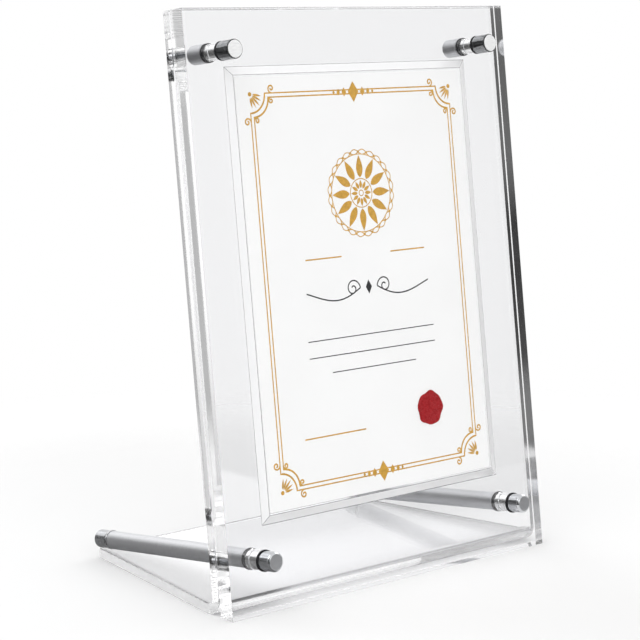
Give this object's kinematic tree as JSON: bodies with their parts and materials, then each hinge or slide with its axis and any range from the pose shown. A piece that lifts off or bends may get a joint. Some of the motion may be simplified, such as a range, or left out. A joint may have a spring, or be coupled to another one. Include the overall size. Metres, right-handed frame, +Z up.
{
  "type": "acrylic photo frame",
  "caption": "Clear desktop picture frame: thick acrylic plates clamp a print with round standoff posts, and the lower posts run back as legs onto a bent clear foot.",
  "frame": {"origin": "middle of the foot's flat underside, on the surface that the frame stands on", "axes": "+Z up, -Y towards the viewer of the print, +X to that viewer's right"},
  "size_m": [0.18, 0.124, 0.2435],
  "materials": {
    "clear_acrylic": "clear, polished all over",
    "print_paper": "smooth white paper with a printed border",
    "polished_steel": "polished",
    "brushed_steel": "satin, finely brushed",
    "black_rubber": "matt",
    "clear_ring": "clear"
  },
  "bodies": {
    "stand": {"rear_plate": "clear_acrylic", "stud_top_left": "polished_steel", "stud_top_right": "polished_steel", "stud_bottom_left": "polished_steel", "stud_bottom_right": "polished_steel", "rear_washer_top_left": "black_rubber", "rear_washer_top_right": "black_rubber", "rear_washer_bottom_left": "black_rubber", "rear_washer_bottom_right": "black_rubber", "barrel_top_left": "brushed_steel", "barrel_top_right": "brushed_steel", "leg_bottom_left": "brushed_steel", "leg_bottom_right": "brushed_steel", "leg_ring_bottom_left": "clear_ring", "leg_ring_bottom_right": "clear_ring", "leg_end_bottom_left": "polished_steel", "leg_end_bottom_right": "polished_steel"},
    "cover": {"front_plate": "clear_acrylic", "front_washer_top_left": "black_rubber", "front_washer_top_right": "black_rubber", "front_washer_bottom_left": "black_rubber", "front_washer_bottom_right": "black_rubber"},
    "print": {"photo_print": "print_paper"},
    "top_left_cap": {"cap_top_left": "polished_steel"},
    "top_right_cap": {"cap_top_right": "polished_steel"},
    "bottom_left_cap": {"cap_bottom_left": "polished_steel"},
    "bottom_right_cap": {"cap_bottom_right": "polished_steel"}
  },
  "joints": [
    {"name": "cover_pull", "type": "slide", "parent": "stand", "child": "cover", "axis": [0, -0.9938, 0.1112], "range_m": [0, 0.04]},
    {"name": "print_pull", "type": "slide", "parent": "stand", "child": "print", "axis": [0, -0.9938, 0.1112], "range_m": [0, 0.02]},
    {"name": "top_left_cap_turn", "type": "hinge", "parent": "cover", "child": "top_left_cap", "pos_m": [-0.072, -0.04161, 0.22609], "axis": [0, -0.9938, 0.1112], "continuous": true},
    {"name": "top_right_cap_turn", "type": "hinge", "parent": "cover", "child": "top_right_cap", "pos_m": [0.072, -0.04161, 0.22609], "axis": [0, -0.9938, 0.1112], "continuous": true},
    {"name": "bottom_left_cap_turn", "type": "hinge", "parent": "cover", "child": "bottom_left_cap", "pos_m": [-0.072, -0.06449, 0.02157], "axis": [0, -0.9938, 0.1112], "continuous": true},
    {"name": "bottom_right_cap_turn", "type": "hinge", "parent": "cover", "child": "bottom_right_cap", "pos_m": [0.072, -0.06449, 0.02157], "axis": [0, -0.9938, 0.1112], "continuous": true}
  ],
  "couplings": [
    {"joint": "print_pull", "follows": "cover_pull", "ratio": 0.5}
  ]
}
